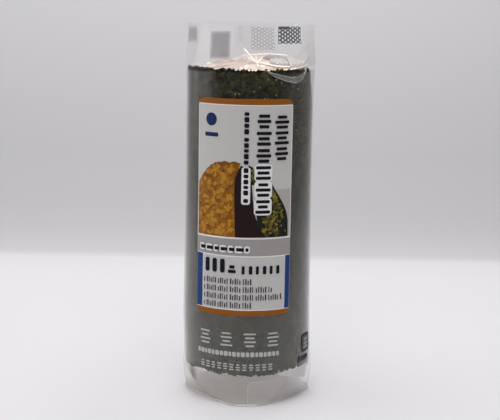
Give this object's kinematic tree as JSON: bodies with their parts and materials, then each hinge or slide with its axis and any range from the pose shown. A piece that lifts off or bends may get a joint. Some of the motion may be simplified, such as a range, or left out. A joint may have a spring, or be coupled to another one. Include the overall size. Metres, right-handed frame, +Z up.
{
  "type": "hand roll sushi",
  "caption": "Cylindrical nori hand roll of rice and crushed natto in a clear film tube that is open past both ends, with a paper label on the front.",
  "frame": {"origin": "middle of the outer film's lower rim, on the surface that the pack stands on", "axes": "+Z up along the roll, -Y out of the labelled front, +X to the right of the front"},
  "size_m": [0.0454, 0.0453, 0.1304],
  "materials": {
    "filling": "crushed fermented soybeans, moist and sticky",
    "rice": "cooked short-grain rice, moist",
    "inner_film": "clear thin polypropylene film, gathered and creased over the ends",
    "nori": "roasted seaweed sheet, fibrous and dull",
    "outer_film": "clear thin polypropylene film, slightly hazy, with long creases at its open ends",
    "label": "satin coated paper, printed in flat colours"
  },
  "bodies": {
    "root": {"filling": "filling", "rice": "rice", "inner_film": "inner_film", "nori": "nori", "outer_film": "outer_film", "label": "label"}
  },
  "joints": []
}
